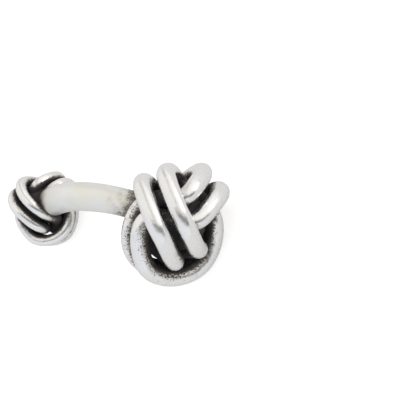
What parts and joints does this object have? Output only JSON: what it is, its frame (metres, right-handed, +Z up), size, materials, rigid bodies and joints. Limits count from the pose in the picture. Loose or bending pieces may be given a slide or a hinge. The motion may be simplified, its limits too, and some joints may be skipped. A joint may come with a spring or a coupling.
{
  "type": "knot cufflink",
  "caption": "Double-ended cufflink: a large and a small ball knot of doubled round wire on the ends of a short curved bar.",
  "frame": {"origin": "middle of the base of the box round the cufflink as it lies on a flat surface", "axes": "+X from the small knot to the large one, +Z up from the surface it lies on"},
  "size_m": [0.0266, 0.0132, 0.0125],
  "materials": {
    "knot_silver": "satin sterling silver, oxidised nearly black in the crevices between the wires",
    "bar_silver": "finely frosted sterling silver, oxidised where it enters the knots"
  },
  "bodies": {
    "root": {"large_knot_wire_1": "knot_silver", "large_knot_wire_2": "knot_silver", "small_knot_wire_1": "knot_silver", "small_knot_wire_2": "knot_silver", "bar": "bar_silver"}
  },
  "joints": []
}
